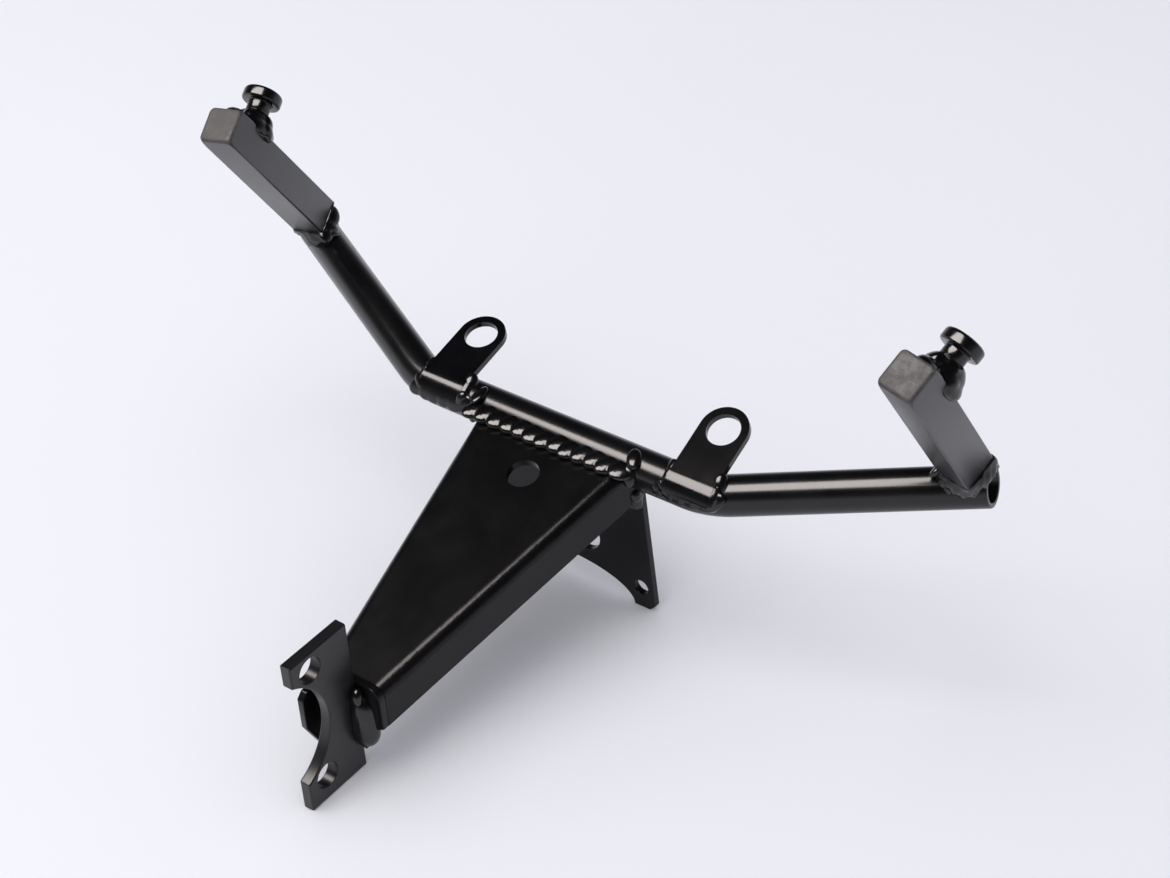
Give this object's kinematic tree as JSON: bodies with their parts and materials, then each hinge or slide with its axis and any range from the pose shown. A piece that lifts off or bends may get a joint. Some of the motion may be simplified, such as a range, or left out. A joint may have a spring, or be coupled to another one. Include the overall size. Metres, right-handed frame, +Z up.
{
  "type": "fairing stay",
  "caption": "Welded motorbike fairing stay: notched head plate, tapering channel arm, bent cross tube with drilled lugs, and leaning square posts that end in grommet pegs, all coated black.",
  "frame": {"origin": "middle of the two bolt holes in the head plate, in the plate's mid-plane", "axes": "+X along the cross tube to the right-hand post, +Y from the head plate along the arm to the cross tube, +Z up, away from the feet"},
  "size_m": [0.3358, 0.2075, 0.1675],
  "materials": {
    "tube": "satin-gloss black coat on round tube",
    "sheet": "satin-gloss black coat on folded sheet",
    "plate": "satin black coat on machined plate",
    "bar": "satin black coat on square bar, with drawing marks",
    "peg": "gloss black coat on turned metal",
    "strip": "satin-gloss black coat on flat strip",
    "weld": "gloss black coat over rippled weld beads"
  },
  "bodies": {
    "root": {"main_tube": "tube", "box_arm": "sheet", "end_cap": "sheet", "nose_tab": "sheet", "head_plate": "plate", "foot_plate": "sheet", "weld_arm": "weld", "weld_head": "weld", "weld_foot": "weld", "left_post": "bar", "left_weld_post": "weld", "left_peg": "peg", "left_weld_peg": "weld", "left_lug": "strip", "left_weld_lug": "weld", "right_post": "bar", "right_weld_post": "weld", "right_peg": "peg", "right_weld_peg": "weld", "right_lug": "strip", "right_weld_lug": "weld"}
  },
  "joints": []
}
